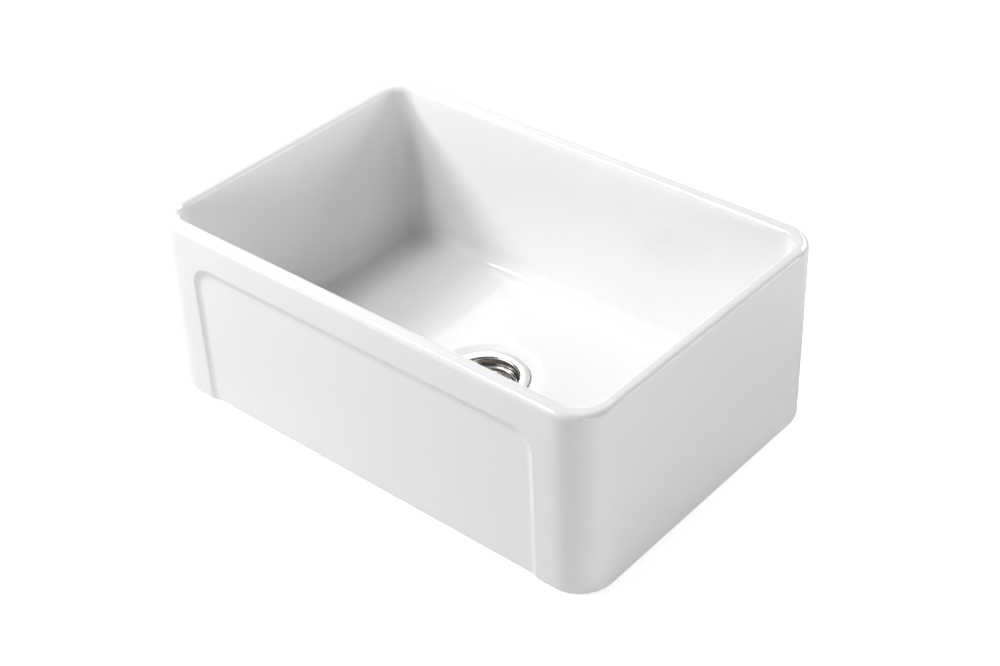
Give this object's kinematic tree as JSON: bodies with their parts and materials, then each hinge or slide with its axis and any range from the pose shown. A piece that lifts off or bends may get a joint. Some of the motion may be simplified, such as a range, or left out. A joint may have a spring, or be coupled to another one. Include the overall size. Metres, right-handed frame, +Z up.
{
  "type": "farmhouse kitchen sink",
  "caption": "Rectangular fireclay kitchen sink with an apron front that has a sunk panel, and a central drain with a lift-out basket strainer and drop-centre stopper.",
  "frame": {"origin": "under the middle of the drain, in the plane of the bowl's underside, which rests on the cabinet", "axes": "+X along the apron to the right as seen from the front, +Y from the apron to the back, +Z up out of the bowl"},
  "size_m": [0.686, 0.457, 0.3115],
  "materials": {
    "white_glaze": "glossy white glaze on fireclay",
    "polished_steel": "polished stainless steel sheet",
    "plain_steel": "mill finish stainless steel",
    "zinc_plated": "zinc plated, slightly dull",
    "cast_brass": "turned brass, plain",
    "black_rubber": "moulded, matt",
    "white_seal": "soft foam seal, matt",
    "grey_fibre": "pressed fibre, matt"
  },
  "bodies": {
    "sink": {"fireclay_bowl": "white_glaze", "strainer_body": "polished_steel", "outlet_cross": "plain_steel", "flange_seal": "white_seal", "underside_gasket": "black_rubber", "fibre_ring": "grey_fibre", "pressure_ring": "zinc_plated", "retaining_shell": "plain_steel", "clamp_screws": "zinc_plated", "shell_nut": "cast_brass"},
    "basket": {"basket_cup": "polished_steel", "basket_bushing": "cast_brass", "bushing_nut": "cast_brass", "friction_ring": "black_rubber"},
    "stopper": {"stopper_post": "polished_steel", "stopper_knob": "polished_steel", "stopper_plate": "plain_steel", "stopper_seal": "black_rubber", "seal_retainer": "plain_steel", "retainer_nut": "zinc_plated"}
  },
  "joints": [
    {"name": "basket_lift", "type": "slide", "parent": "sink", "child": "basket", "axis": [0, 0, 1], "range_m": [0, 0.3]},
    {"name": "stopper_slide", "type": "slide", "parent": "basket", "child": "stopper", "axis": [0, 0, 1], "range_m": [0, 0.007]}
  ]
}
